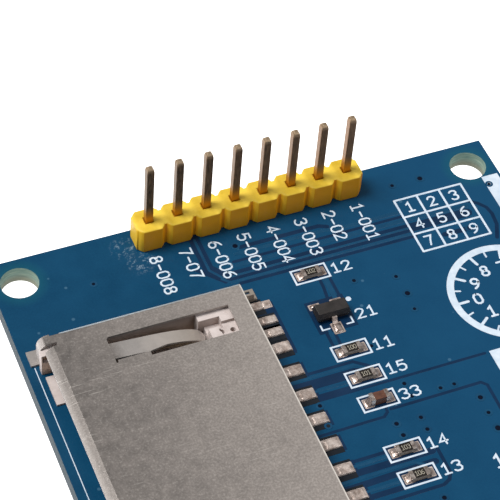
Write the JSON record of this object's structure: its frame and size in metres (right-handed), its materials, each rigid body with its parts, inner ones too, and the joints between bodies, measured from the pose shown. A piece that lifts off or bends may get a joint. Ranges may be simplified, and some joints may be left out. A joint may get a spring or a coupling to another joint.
{
  "type": "tft display module",
  "caption": "Flat colour display panel taped to the front of a blue circuit board, with a yellow pin header, a metal card socket and small chip parts on the back.",
  "frame": {"origin": "centre of the board's outline, on the plane of the display's face", "axes": "+Z out of the board's back, from the display's face towards the socket and pins; +Y along the board towards the pin header; +X across the board, away from the card socket's mouth"},
  "size_m": [0.0452, 0.06, 0.0133],
  "materials": {
    "board": "blue solder mask over glass-fibre board, satin gloss",
    "header_plastic": "yellow moulded plastic, satin",
    "header_pin": "gold-flashed brass pins, dulled to bronze",
    "solder": "bright solder",
    "socket_shell": "stamped steel sheet, fine grain, light scratches",
    "socket_plastic": "cream moulded plastic",
    "contact": "tin-plated spring strip",
    "transistor_plastic": "black-brown moulding compound",
    "lead": "tin-plated lead frame",
    "resistor": "dark glazed top on ceramic",
    "chip_end": "tin-plated chip ends",
    "capacitor": "tan-brown ceramic, satin",
    "display_tape": "double-sided foam tape",
    "backlight_frame": "white moulded plastic",
    "reflector": "white mirror film",
    "light_guide": "clear acrylic",
    "diffuser": "frosted film",
    "prism_film": "ribbed clear film",
    "lamp": "white lamp bodies with yellow phosphor",
    "rim_tape": "black light-blocking tape",
    "polarizer": "dark grey film",
    "display_glass": "thin clear glass",
    "driver_chip": "bare silicon, dark grey",
    "flex": "amber flexible circuit"
  },
  "bodies": {
    "root": {"pcb": "board", "header_housing": "header_plastic", "header_pin_1": "header_pin", "header_pin_2": "header_pin", "header_pin_3": "header_pin", "header_pin_4": "header_pin", "header_pin_5": "header_pin", "header_pin_6": "header_pin", "header_pin_7": "header_pin", "header_pin_8": "header_pin", "header_solder": "solder", "sd_shell": "socket_shell", "sd_base": "socket_plastic", "sd_contact_1": "contact", "sd_contact_2": "contact", "sd_contact_3": "contact", "sd_contact_4": "contact", "sd_contact_5": "contact", "sd_contact_6": "contact", "sd_contact_7": "contact", "sd_contact_8": "contact", "sd_contact_9": "contact", "sd_switch_1": "contact", "sd_switch_2": "contact", "transistor_body": "transistor_plastic", "transistor_leads": "lead", "resistor_1": "resistor", "resistor_2": "resistor", "resistor_3": "resistor", "resistor_4": "resistor", "resistor_5": "resistor", "resistor_ends": "chip_end", "capacitor_1": "capacitor", "capacitor_2": "capacitor", "capacitor_3": "capacitor", "capacitor_ends": "chip_end", "display_tape": "display_tape", "backlight_frame": "backlight_frame", "reflector": "reflector", "light_guide": "light_guide", "diffuser": "diffuser", "prism_film": "prism_film", "backlight_lamps": "lamp", "lamp_strip": "flex", "rim_tape": "rim_tape", "rear_polarizer": "polarizer", "rear_glass": "display_glass", "front_glass": "display_glass", "front_polarizer": "polarizer", "driver_chip": "driver_chip", "display_flex": "flex", "flex_solder": "solder"}
  },
  "joints": []
}
